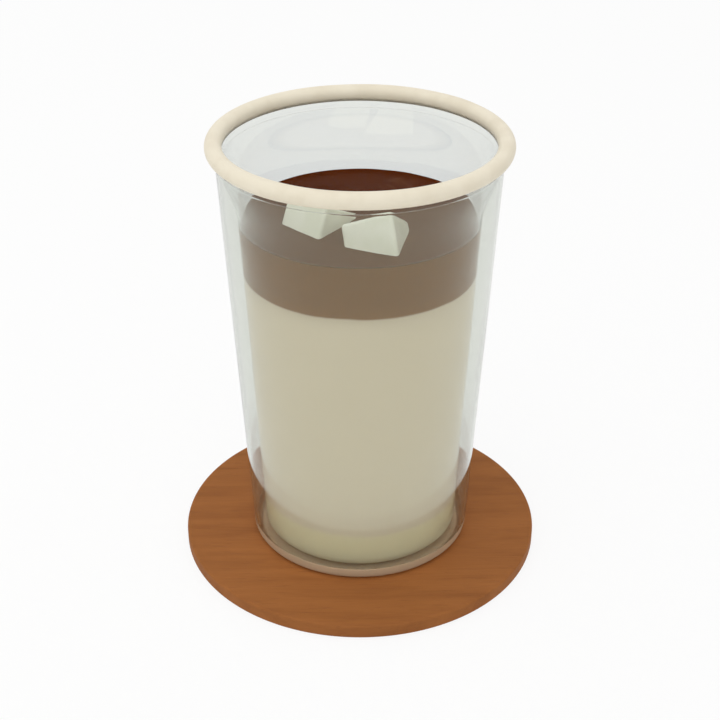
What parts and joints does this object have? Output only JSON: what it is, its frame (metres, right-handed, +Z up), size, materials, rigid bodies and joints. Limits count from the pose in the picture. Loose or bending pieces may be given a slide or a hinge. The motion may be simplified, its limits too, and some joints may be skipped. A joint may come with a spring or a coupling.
{
  "type": "iced coffee",
  "caption": "Layered iced coffee with floating ice cubes in a tapered double-walled glass with a cream lip ring, standing on a round wooden coaster.",
  "frame": {"origin": "centre of the coaster's underside", "axes": "+Z up through the middle of the glass; -Y is the front, where the ice cubes float; +X is right seen from the front"},
  "size_m": [0.1138, 0.1138, 0.1379],
  "materials": {
    "coaster_wood": "satin, fine straight grain",
    "misted_glass": "smooth, faintly misted outside",
    "cream_silicone": "satin",
    "sweet_milk": "wet",
    "milky_coffee": "wet",
    "dark_coffee": "wet",
    "ice": "wet, cloudy inside"
  },
  "bodies": {
    "root": {"coaster": "coaster_wood", "glass": "misted_glass", "lip_ring": "cream_silicone", "sweet_milk_layer": "sweet_milk", "milk_layer": "milky_coffee", "coffee_layer": "dark_coffee", "ice_cube_left": "ice", "ice_cube_right": "ice"}
  },
  "joints": []
}
